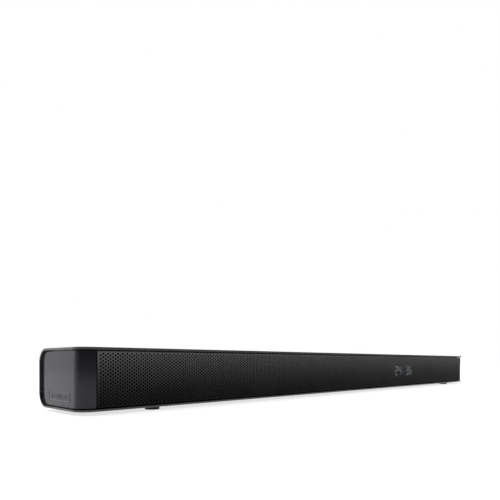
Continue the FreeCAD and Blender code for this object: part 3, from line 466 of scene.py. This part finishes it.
# quads between the points of a grid, in rows; a closed way joins its last line to its first
def gridFaces(rows, columns, closedRows=False, closedColumns=False):
    row = np.arange(rows if closedRows else rows - 1)[:, None]
    column = np.arange(columns if closedColumns else columns - 1)[None, :]
    here = row * columns + column
    right = row * columns + (column + 1) % columns
    below = ((row + 1) % rows) * columns + column
    corner = ((row + 1) % rows) * columns + (column + 1) % columns
    return np.stack([here, right, corner, below], axis=-1).reshape(-1, 4)


# a mesh as a piece, with its finish (the slot's own unless another is named) and the body that it rides
# on; the shading is smooth where faces meet at less than so many degrees
def makePiece(name, points, faces, slot, body="casing", finish=None, smooth=None):
    mesh = bpy.data.meshes.new(name)
    mesh.from_pydata(points.tolist(), [], faces)
    mesh.materials.append(finishes[finish or slot].material)
    mesh.update()
    if smooth is not None:
        mesh.polygons.foreach_set("use_smooth", np.ones(len(mesh.polygons), bool))
        mesh.set_sharp_from_angle(angle=math.radians(smooth))
    piece = bpy.data.objects.new(name, mesh)
    bpy.context.scene.collection.objects.link(piece)
    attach(piece, body)
    return piece


# a tube of rings: quads between the rings and a flat face on each end
def ringTube(rings):
    count, around = rings.shape[:2]
    faces = gridFaces(count, around, closedColumns=True).tolist()
    faces.append(list(range(around))[::-1])
    faces.append([(count - 1) * around + step for step in range(around)])
    return rings.reshape(-1, 3), faces


# several point and face lists as one
def joined(parts):
    points = np.concatenate([part[0] for part in parts])
    faces, start = [], 0
    for part in parts:
        faces += [[index + start for index in face] for face in part[1]]
        start += len(part[0])
    return points, faces


# the same faces, turned to look the other way
def flipped(faces):
    return [list(face)[::-1] for face in faces]


grille = {
    "halfColumns": 179,
    "halfRows": 31,
    "columnWide": 0.00262,
    "holeReach": 0.00121,
    "sheetThick": 0.0005,
    "bendRadius": 0.00125,
    "bendSteps": 6,
}
grilleLow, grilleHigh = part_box("front_grille")
sheetFront = grilleLow.y
sheetBack = grilleLow.y + grille["sheetThick"]
sheetMiddle = (grilleLow.z + grilleHigh.z) / 2
rowStep = (grilleHigh.z - grilleLow.z - 2 * grille["bendRadius"]) / grille["halfRows"]


# half the sheet: each column holds one hole for every two steps of height, and every other column is
# moved up a step; a hole is a hexagon inside an outline of six points that its neighbours share
def perforatedHalf(side):
    wide, step, reach = grille["columnWide"], rowStep, grille["holeReach"]
    rows, columns = grille["halfRows"], grille["halfColumns"]
    column, hole = np.meshgrid(np.arange(columns), np.arange(rows // 2), indexing="ij")
    x = (column + 0.5) * wide
    z = (2 * hole + 1 + column % 2 - rows / 2) * step
    outline = np.array([(wide / 2, 0), (wide / 2, step), (-wide / 2, step),
                        (-wide / 2, 0), (-wide / 2, -step), (wide / 2, -step)])
    angle = np.arange(6) * math.pi / 3
    rim = reach * np.stack([np.cos(angle), np.sin(angle)], axis=-1)
    cell = np.concatenate([outline, rim])
    flat = (np.stack([x, z], axis=-1)[:, :, None, :] + cell).reshape(-1, 2)
    start = 12 * np.arange(x.size)[:, None, None]
    here = np.arange(6)
    there = (here + 1) % 6
    webs = np.stack([here, there, there + 6, here + 6], axis=-1) + start
    webs = webs.reshape(-1, 4)
    walls = np.stack([here + 6, there + 6], axis=-1) + start
    walls = walls.reshape(-1, 2)
    # the half cell left over at the end of each column
    spare = np.arange(columns)
    low = np.where(spare % 2, 0, rows - 1) - rows / 2
    corners = np.array([(0, 0), (1, 0), (1, 1), (0, 1)])
    left = np.stack([spare, low], axis=-1)[:, None, :] + corners
    ends = (left * (wide, step)).reshape(-1, 2)
    # the plain margin beside the last column
    level = (np.arange(rows + 1) - rows / 2) * step
    edge = grilleHigh.x
    strip = np.stack([np.stack([np.full(rows + 1, columns * wide), level], axis=-1),
                      np.stack([np.full(rows + 1, edge), level], axis=-1)]).reshape(-1, 2)
    stripFaces = gridFaces(2, rows + 1)[:, ::-1]
    plane = np.concatenate([flat, ends, strip])
    sheet = np.concatenate([webs, len(flat) + np.arange(len(ends)).reshape(-1, 4),
                            len(flat) + len(ends) + stripFaces])
    count = len(plane)
    front = np.stack([plane[:, 0], np.full(count, sheetFront), plane[:, 1] + sheetMiddle], axis=-1)
    back = np.stack([plane[:, 0], np.full(count, sheetBack), plane[:, 1] + sheetMiddle], axis=-1)
    # the outer border, walked round once
    top, bottom = rows / 2 * step, -rows / 2 * step
    across = np.concatenate([np.arange(columns + 1) * wide, [edge]])
    border = np.concatenate([
        np.stack([across, np.full(len(across), bottom)], axis=-1)[:-1],
        np.stack([np.full(rows + 1, edge), level], axis=-1)[:-1],
        np.stack([across, np.full(len(across), top)], axis=-1)[::-1][:-1],
        np.stack([np.zeros(rows + 1), level], axis=-1)[::-1][:-1]])
    size = len(border)
    rimFront = np.stack([border[:, 0], np.full(size, sheetFront), border[:, 1] + sheetMiddle], axis=-1)
    rimBack = rimFront + (0, sheetBack - sheetFront, 0)
    leading = np.arange(size)
    following = (leading + 1) % size
    rimFaces = np.stack([leading, leading + size, following + size, following], axis=-1)
    points = np.concatenate([front, back, rimFront, rimBack])
    holes = np.stack([walls[:, 0], walls[:, 1], walls[:, 1] + count, walls[:, 0] + count], axis=-1)
    faces = np.concatenate([sheet, sheet[:, ::-1] + count, holes, 2 * count + rimFaces])
    points[:, 0] *= side
    if side < 0:
        faces = faces[:, ::-1]
    # points that fall together, to a ten-thousandth of a millimetre, are made one
    first, inverse = np.unique(np.round(points * 1e7).astype(np.int64), axis=0,
                               return_index=True, return_inverse=True)[1:]
    return points[first], inverse.reshape(-1)[faces]


# the sheet's top and bottom, bent back round a radius to a flange that meets the baffle
def rolledEdge(way):
    radius, thick = grille["bendRadius"], grille["sheetThick"]
    turn = np.linspace(0, math.pi / 2, grille["bendSteps"])
    edge = grilleHigh.z if way > 0 else grilleLow.z
    centreZ = edge - way * radius
    outer = np.stack([grilleLow.y + radius - radius * np.cos(turn),
                      centreZ + way * radius * np.sin(turn)], axis=-1)
    inner = np.stack([grilleLow.y + radius - (radius - thick) * np.cos(turn),
                      centreZ + way * (radius - thick) * np.sin(turn)], axis=-1)
    flange = np.array([(grilleHigh.y, edge), (grilleHigh.y, edge - way * thick)])
    loop = np.concatenate([outer, flange, inner[::-1]])
    rings = np.stack([np.concatenate([np.full((len(loop), 1), x), loop], axis=-1)
                      for x in (grilleLow.x, grilleHigh.x)])
    points, faces = ringTube(rings)
    return points, flipped(faces) if way > 0 else faces


for side, name in ((-1, "grille_left_half"), (1, "grille_right_half")):
    points, faces = perforatedHalf(side)
    piece = makePiece(name, points, faces.tolist(), "grille_metal")
    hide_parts("front_grille")
points, faces = joined([rolledEdge(1), rolledEdge(-1)])
piece = makePiece("grille_rolled_edges", points, faces, "grille_metal", smooth=30)
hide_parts("front_grille")
print("grille made")


cap = {
    "wall": 0.0025,
    "frontRadius": 0.0145,
    "rearRadius": 0.0129,
    "edgeRound": 0.0005,
    "lipShare": 0.3,
    "bendSteps": 28,
    "sideSteps": 12,
    "edgeSteps": 5,
}


# a shell's section carried along the plan: from the back, straight to the front corner, round it and
# into the short tongue beside the grille; the section is as tall as the end's outline is there
def capSurface(side):
    low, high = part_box("right_end_cap")
    wall, bend, rearBend, edge = cap["wall"], cap["frontRadius"], cap["rearRadius"], cap["edgeRound"]
    turn = np.linspace(math.pi / 2, 0, cap["bendSteps"])
    rearY = high.y - rearBend + rearBend * np.sin(turn)
    flatY = np.linspace(rearY[-1], low.y + bend, cap["sideSteps"])[1:]
    swing = np.linspace(0, math.pi / 2, cap["bendSteps"])[1:]
    lip = edge * cap["lipShare"]
    tongueX = np.array([low.x + edge, low.x + lip, low.x])
    x = np.concatenate([np.full(len(rearY) + len(flatY), high.x),
                        high.x - bend + bend * np.cos(swing), tongueX])
    y = np.concatenate([rearY, flatY, low.y + bend - bend * np.sin(swing), np.full(len(tongueX), low.y)])
    normal = np.concatenate([np.zeros(len(rearY) + len(flatY)), swing,
                             np.full(len(tongueX), math.pi / 2)])
    retreat = np.zeros(len(x))
    retreat[-2:] = (lip, edge)
    past = np.clip(y - (high.y - rearBend), 0, rearBend)
    half = (high.z - low.z) / 2 - rearBend + np.sqrt(rearBend ** 2 - past ** 2)
    # the section: out of the wall and up, round the outer edges
    corner = np.linspace(0, math.pi / 2, cap["edgeSteps"])
    out = np.concatenate([edge * (np.cos(corner) - 1), [-wall, -wall], edge * (np.cos(corner[::-1]) - 1)])
    drop = np.concatenate([edge * (1 - np.sin(corner)), [0, 0], edge * (1 - np.sin(corner[::-1]))])
    sign = np.repeat((1.0, -1.0), len(out) // 2)
    offset = np.maximum(out[None, :] - retreat[:, None], -wall)
    rings = np.stack([x[:, None] + offset * np.cos(normal)[:, None],
                      y[:, None] - offset * np.sin(normal)[:, None],
                      (low.z + high.z) / 2 + sign * (half[:, None] - drop)], axis=-1)
    rings[:, :, 0] *= side
    points, faces = ringTube(rings)
    return points, flipped(faces) if side < 0 else faces


for side, name in ((-1, "left_end_cap"), (1, "right_end_cap")):
    points, faces = capSurface(side)
    piece = makePiece(name + "_shell", points, faces, "end_cap_plastic", smooth=35)
    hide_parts(name)


plaque = {
    "middleY": 0.001,
    "middleZ": 0.0166,
    "wide": 0.049,
    "tall": 0.0098,
    "rise": 0.00035,
    "fieldShare": 0.15,  # how much of the rise the field has, the frame and bars having it all
    "fieldEdge": 0.0001,
    "fieldSoft": 0.0002,
    "frameEdge": 0.0002,
    "frameWide": 0.0006,
    "soft": 0.0003,
    "bars": 9,
    "barWide": 0.0011,
    "barPitch": 0.0040,
    "barTall": 0.18,
    "barSwing": 0.10,
    "barWave": 1.4,
    "sunk": 0.0006,
    "stepsAlong": 180,
    "stepsUp": 60,
}


# a smooth rise from 0 to 1 as the value passes an edge
def softStep(value, edge, soft):
    share = np.clip((value - edge) / soft + 0.5, 0, 1)
    return share * share * (3 - 2 * share)


# a height over a flat grid: a raised frame round a field with a row of plain upright bars, whose
# heights follow one slow wave
def plaqueSurface(side):
    soft, field = plaque["soft"], plaque["fieldShare"]
    acrossY = np.linspace(-0.5, 0.5, plaque["stepsAlong"]) * plaque["wide"]
    upZ = np.linspace(-0.5, 0.5, plaque["stepsUp"]) * plaque["tall"]
    y, z = np.meshgrid(acrossY, upZ, indexing="ij")
    inside = np.minimum(plaque["wide"] / 2 - abs(y), plaque["tall"] / 2 - abs(z))
    frameOut = softStep(inside, plaque["frameEdge"], soft)
    frameShape = frameOut * (1 - softStep(inside, plaque["frameWide"], soft))
    number = np.round(y / plaque["barPitch"])
    within = abs(y - number * plaque["barPitch"])
    tall = plaque["tall"] * (plaque["barTall"] + plaque["barSwing"] * np.cos(number * plaque["barWave"]))
    bars = (1 - softStep(within, plaque["barWide"] / 2, soft)) * (1 - softStep(abs(z), tall, soft))
    bars = bars * (abs(number) <= plaque["bars"] // 2)
    ground = softStep(inside, plaque["fieldEdge"], plaque["fieldSoft"])
    height = plaque["rise"] * (field * ground + (1 - field) * np.maximum(frameShape, bars))
    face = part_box("right_end_cap")[1].x
    rings = np.stack([face + height, y + plaque["middleY"], z + plaque["middleZ"]], axis=-1)
    rows, columns = y.shape
    back = rings.copy()
    back[:, :, 0] = face - plaque["sunk"]
    faces = gridFaces(rows, columns)
    count = rows * columns
    index = np.arange(count).reshape(rows, columns)
    border = np.concatenate([index[:-1, 0], index[-1, :-1], index[1:, -1][::-1], index[0, 1:][::-1]])
    following = np.roll(border, -1)
    skirt = np.stack([border, following, following + count, border + count], axis=-1)
    points = np.concatenate([rings.reshape(-1, 3), back.reshape(-1, 3)])
    allFaces = faces.tolist() + skirt[:, ::-1].tolist() + (faces[:, ::-1] + count).tolist()
    points[:, 0] *= side
    return points, flipped(allFaces) if side < 0 else allFaces


for side, name in ((-1, "left_cap_plaque"), (1, "right_cap_plaque")):
    points, faces = plaqueSurface(side)
    makePiece(name, points, faces, "end_cap_plastic", smooth=50)
print("end caps made")


key = {
    "corner": 0.002,
    "edgeRound": 0.0004,
    "capDeep": 0.00255,
    "flangeOut": 0.0015,
    "flangeWall": 0.0012,
    "flangeCorner": 0.0008,
    "stemRadius": 0.0018,
    "stemEdge": 0.0003,
    "leastCorner": 0.00005,
    "cornerSteps": 7,
    "inkWide": 0.00055,
    "inkThick": 0.00005,
}


# rings of a rounded rectangle: each row of the profile is how far in from the outline, and how high
def tileRings(centre, wide, deep, corner, profile, steps):
    turn = np.linspace(0, math.pi / 2, steps)
    angle = (np.arange(4)[:, None] * math.pi / 2 + turn).reshape(-1)
    signX = np.repeat((1, -1, -1, 1), steps)
    signY = np.repeat((1, 1, -1, -1), steps)
    inset, level = np.array(profile).T
    radius = np.maximum(corner - inset, key["leastCorner"])[:, None]
    x = centre[0] + signX * (wide / 2 - inset[:, None] - radius) + radius * np.cos(angle)
    y = centre[1] + signY * (deep / 2 - inset[:, None] - radius) + radius * np.sin(angle)
    return np.stack([x, y, np.repeat(level[:, None], len(angle), axis=1)], axis=-1)


# rings turned about an upright axis: each row of the profile is a radius and a height
def turnedRings(centre, profile, around):
    angle = np.linspace(0, 2 * math.pi, around, endpoint=False)
    radius, level = np.array(profile).T
    return np.stack([centre[0] + radius[:, None] * np.cos(angle),
                     centre[1] + radius[:, None] * np.sin(angle),
                     np.repeat(level[:, None], around, axis=1)], axis=-1)


# a flat ribbon of ink along a line in the plan; its ends are square
def inkRibbon(line, level):
    line = np.array(line, float)
    wide, thick = key["inkWide"], key["inkThick"]
    step = np.gradient(line, axis=0)
    step /= np.linalg.norm(step, axis=1)[:, None]
    aside = np.stack([-step[:, 1], step[:, 0]], axis=-1) * wide / 2
    rings = np.stack([
        np.concatenate([line + aside, np.full((len(line), 1), level + thick)], axis=1),
        np.concatenate([line + aside, np.full((len(line), 1), level - thick)], axis=1),
        np.concatenate([line - aside, np.full((len(line), 1), level - thick)], axis=1),
        np.concatenate([line - aside, np.full((len(line), 1), level + thick)], axis=1)], axis=1)
    points, faces = ringTube(rings)
    return points, flipped(faces)


# each key's mark as lines about its centre: a broken ring and a stroke, an arrow into a box, a minus
# and a plus
def keyMarks(name, x, y):
    bend = np.linspace(math.radians(125), math.radians(415), 40)
    ring = np.stack([x + 0.0019 * np.cos(bend), y + 0.0019 * np.sin(bend)], axis=-1)
    marks = {
        "power_key": [ring, [(x, y + 0.0004), (x, y + 0.0025)]],
        "source_key": [[(x - 0.0006, y + 0.0020), (x + 0.0024, y + 0.0020), (x + 0.0024, y - 0.0020),
                        (x - 0.0006, y - 0.0020)],
                       [(x - 0.0030, y), (x + 0.0008, y)],
                       [(x - 0.0004, y + 0.0011), (x + 0.0008, y), (x - 0.0004, y - 0.0011)]],
        "volume_down_key": [[(x - 0.0020, y), (x + 0.0020, y)]],
        "volume_up_key": [[(x - 0.0020, y), (x + 0.0020, y)], [(x, y - 0.0020), (x, y - 0.0002)],
                          [(x, y + 0.0002), (x, y + 0.0020)]],
    }
    return marks[name]


for name in ("power_key", "source_key", "volume_down_key", "volume_up_key"):
    low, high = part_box(name)
    x, y = (low.x + high.x) / 2, (low.y + high.y) / 2
    wide, deep = high.x - low.x - 2 * key["flangeOut"], high.y - low.y - 2 * key["flangeOut"]
    top, edge = high.z, key["edgeRound"]
    base = top - key["capDeep"]
    arc = np.linspace(0, math.pi / 2, 5)
    crown = [(edge * (1 - math.cos(a)), top - edge + edge * math.sin(a)) for a in arc]
    parts = [
        ringTube(tileRings((x, y), wide, deep, key["corner"], [(0, base)] + crown, key["cornerSteps"])),
        ringTube(tileRings((x, y), high.x - low.x, high.y - low.y, key["flangeCorner"],
                           [(0, base - key["flangeWall"]), (0, base)], 3)),
        ringTube(turnedRings((x, y), [(key["stemRadius"] - key["stemEdge"], low.z),
                                      (key["stemRadius"], low.z + key["stemEdge"]),
                                      (key["stemRadius"], base - key["flangeWall"])], 24)),
    ]
    points, faces = joined(parts)
    piece = makePiece(name + "_cap", points, faces, "key_plastic", name + "_body", smooth=35)
    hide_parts(name)
    points, faces = joined([inkRibbon(line, top) for line in keyMarks(name, x, y)])
    makePiece(name + "_mark", points, faces, "key_plastic", name + "_body", "key_ink")
print("keys made")


footShape = {
    "edgeRound": 0.0008,
    "ridges": 4,
    "ridgeDeep": 0.0003,
    "pegRadius": 0.0025,
    "pegTall": 0.003,
    "waist": 0.0003,
    "chamfer": 0.0003,
    "shoulderDrop": 0.0004,
    "centreGap": 0.0006,
}


# turned about the foot's axis: rings of ridges underneath, a rounded edge, a slight waist and a peg
for name in ("foot_front_left", "foot_front_right", "foot_rear_left", "foot_rear_right"):
    low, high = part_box(name)
    centre = ((low.x + high.x) / 2, (low.y + high.y) / 2)
    radius, edge = (high.x - low.x) / 2, footShape["edgeRound"]
    shoulder = high.z - footShape["pegTall"]
    peg, chamfer = footShape["pegRadius"], footShape["chamfer"]
    across = np.linspace(footShape["centreGap"], radius - edge, 40)
    wave = np.cos(across / (radius - edge) * footShape["ridges"] * 2 * math.pi)
    underside = np.stack([across, low.z + footShape["ridgeDeep"] * (0.5 - 0.5 * wave)], axis=-1)
    turn = np.linspace(0, math.pi / 2, 6)[1:]
    rounded = np.stack([radius - edge + edge * np.sin(turn), low.z + edge - edge * np.cos(turn)], axis=-1)
    waist = [(radius - footShape["waist"], (low.z + shoulder) / 2),
             (radius, shoulder - footShape["shoulderDrop"]), (radius - chamfer, shoulder),
             (peg, shoulder), (peg, high.z - chamfer), (peg - chamfer, high.z)]
    points, faces = ringTube(turnedRings(centre, np.concatenate([underside, rounded, waist]), 64))
    piece = makePiece(name + "_puck", points, faces, "foot_rubber", smooth=40)
    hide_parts(name)
print("feet made")


display = {
    "shown": (2, 4, 3, 6),
    "stroke": 0.0018,
    "places": (-2, -1, 1, 2),
    "pitchShare": 15 / 71,  # the step from digit to digit, as a share of the whole width
    "gap": 0.0002,
    "colonRise": 0.003,
    "colonHalf": 0.0011,
}
# the strokes that each digit from 0 to 9 lights, named in order from a to g: top, upper right,
# lower right, bottom, lower left, upper left, middle
strokeSets = ("abcdef", "bc", "abged", "abgcd", "fgbc", "afgcd", "afgecd", "abc", "abcdefg", "abcdfg")


# flat bars with pointed ends, standing just behind the window
def strokeBars(middles, upright, half, low, high):
    tip = display["stroke"] / 2
    run = half - display["gap"]
    along = np.concatenate([-run, -run + tip, run - tip, run, run - tip, -run + tip], axis=1)
    aside = np.array([0, tip, tip, 0, -tip, -tip])
    upright = np.array(upright, bool)[:, None]
    x = np.array(middles)[:, :1] + np.where(upright, aside, along)
    z = np.array(middles)[:, 1:] + np.where(upright, along, aside)
    rings = np.stack([np.stack([x, np.full(x.shape, depth), z], axis=-1) for depth in (low, high)], axis=1)
    parts = []
    for ring, standing in zip(rings, upright[:, 0]):
        points, faces = ringTube(ring)
        parts.append((points, faces if standing else flipped(faces)))
    return joined(parts)


# the lit strokes and the dark ones as two pieces, and two dots between the pairs of digits
def digits():
    low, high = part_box("display_digits")
    middleX, middleZ = (low.x + high.x) / 2, (low.z + high.z) / 2
    pitch = (high.x - low.x) * display["pitchShare"]
    wide = (high.x - low.x) - (display["places"][-1] - display["places"][0]) * pitch
    rise = (high.z - low.z - display["stroke"]) / 2
    reach = (wide - display["stroke"]) / 2
    spots = {"a": (0, rise, False), "b": (reach, rise / 2, True), "c": (reach, -rise / 2, True),
             "d": (0, -rise, False), "e": (-reach, -rise / 2, True), "f": (-reach, rise / 2, True),
             "g": (0, 0, False)}
    for name, lit in (("display_digits_lit", True), ("display_digits_dark", False)):
        middles, upright, halves = [], [], []
        for place, digit in zip(display["places"], display["shown"]):
            for letter, (x, z, standing) in spots.items():
                if (letter in strokeSets[digit]) == lit:
                    middles.append((middleX + place * pitch + x, middleZ + z))
                    upright.append(standing)
                    halves.append(rise / 2 if standing else reach)
        points, faces = strokeBars(middles, upright, np.array(halves)[:, None], low.y, high.y)
        if lit:
            dots = [(middleX, middleZ + way * display["colonRise"]) for way in (-1, 1)]
            more = strokeBars(dots, [False, False], np.full((2, 1), display["colonHalf"]), low.y, high.y)
            points, faces = joined([(points, faces), more])
        piece = makePiece(name, points, faces, "display_light", finish=None if lit else "display_off")
        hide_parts("display_digits")


digits()
print("display made")


floorPoints = np.array([(-1, -1, 0), (1, -1, 0), (1, 1, 0), (-1, 1, 0)]) * studio["floorSide"] / 2
floorMesh = bpy.data.meshes.new("floor")
floorMesh.from_pydata(floorPoints.tolist(), [], [(0, 1, 2, 3)])
floorFinish = Finish("floor_paper", {
    "Base Color": studio["floorColour"], "Roughness": 0.9, "Specular IOR Level": 0.0,
    "Emission Color": (1, 1, 1), "Emission Strength": studio["floorGlow"]})
floorMesh.materials.append(floorFinish.material)
floor = bpy.data.objects.new("floor", floorMesh)
bpy.context.scene.collection.objects.link(floor)
floor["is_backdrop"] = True

# a sky that is bright behind the object and dim in front of it, and that shows as a white backdrop
world = bpy.data.worlds.new("studio")
world.use_nodes = True
sky = world.node_tree
spot = sky.nodes.new("ShaderNodeTexCoord")
split = sky.nodes.new("ShaderNodeSeparateXYZ")
depth = sky.nodes.new("ShaderNodeMapRange")
depth.inputs["From Min"].default_value = 0.0
depth.inputs["From Max"].default_value = studio["skyReach"]
depth.inputs["To Min"].default_value = studio["frontSky"]
depth.inputs["To Max"].default_value = studio["rearSky"]
path = sky.nodes.new("ShaderNodeLightPath")
strength = sky.nodes.new("ShaderNodeMix")
strength.inputs[3].default_value = studio["backdropStrength"]
background = sky.nodes["Background"]
background.inputs["Color"].default_value = (1, 1, 1, 1)
sky.links.new(spot.outputs["Generated"], split.inputs[0])
sky.links.new(split.outputs["Y"], depth.inputs["Value"])
sky.links.new(depth.outputs[0], strength.inputs[2])
sky.links.new(path.outputs["Is Camera Ray"], strength.inputs[0])
sky.links.new(strength.outputs[0], background.inputs["Strength"])
bpy.context.scene.world = world

low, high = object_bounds()
